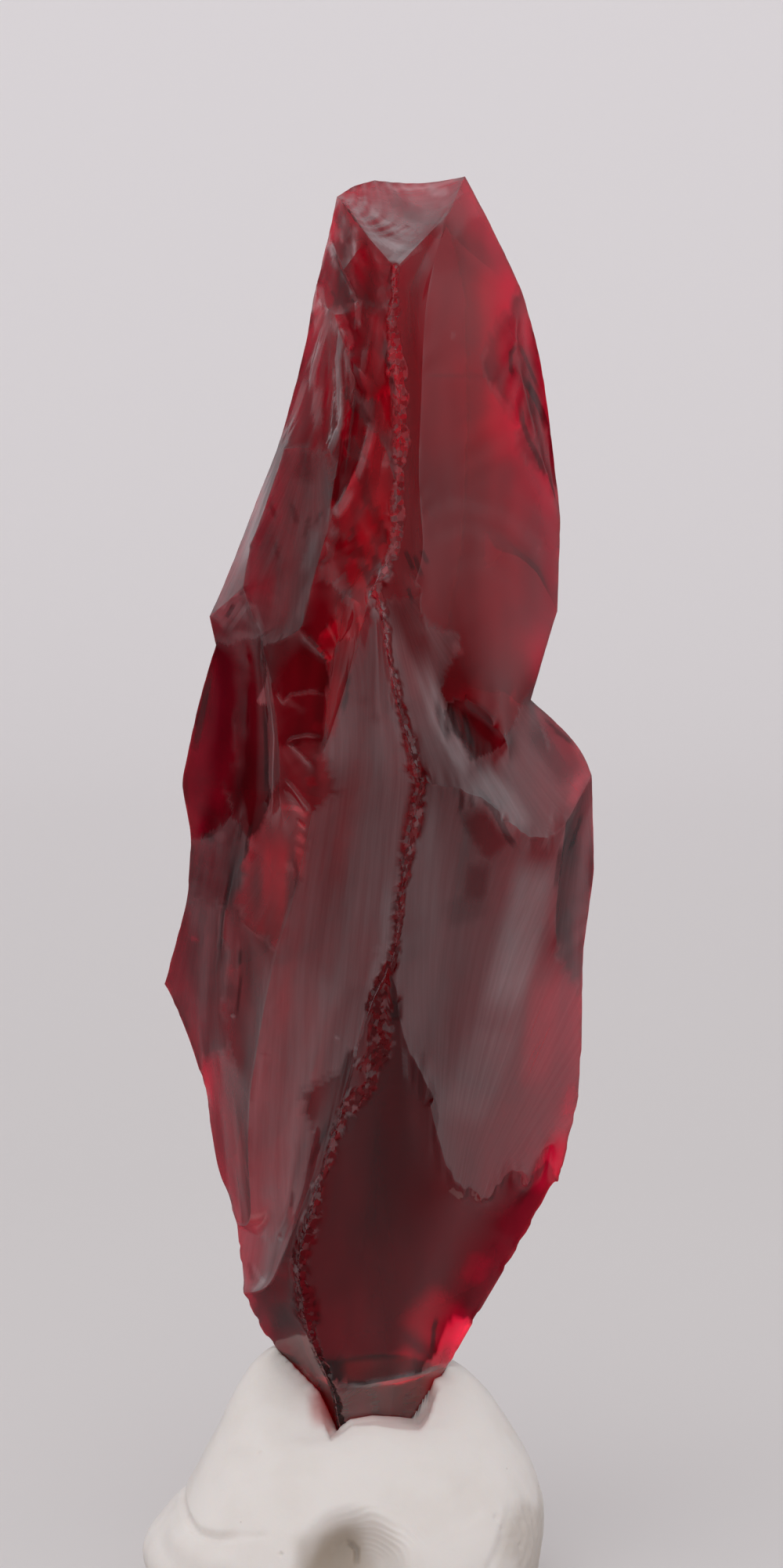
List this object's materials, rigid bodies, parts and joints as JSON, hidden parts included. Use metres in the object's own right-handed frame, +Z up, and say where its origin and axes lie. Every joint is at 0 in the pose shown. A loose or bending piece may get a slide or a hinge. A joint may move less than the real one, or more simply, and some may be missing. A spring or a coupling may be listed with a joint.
{
  "type": "andara crystal",
  "caption": "Tall shard of deep red see-through glass with curved broken faces, standing on end in a lump of white mounting putty.",
  "frame": {"origin": "middle of the whole object's box, on the plane of the putty's flat base", "axes": "+Z up along the shard, -Y towards the side with the long middle arris, +X to the right seen from there"},
  "size_m": [0.0292, 0.0226, 0.091],
  "materials": {
    "glass": "clear deep red glass, glossy where it broke cleanly, crushed and dull along the arrises",
    "putty": "soft off-white putty with a faint satin sheen, pressed with fingertips"
  },
  "bodies": {
    "root": {"crystal": "glass", "putty_stand": "putty"}
  },
  "joints": []
}
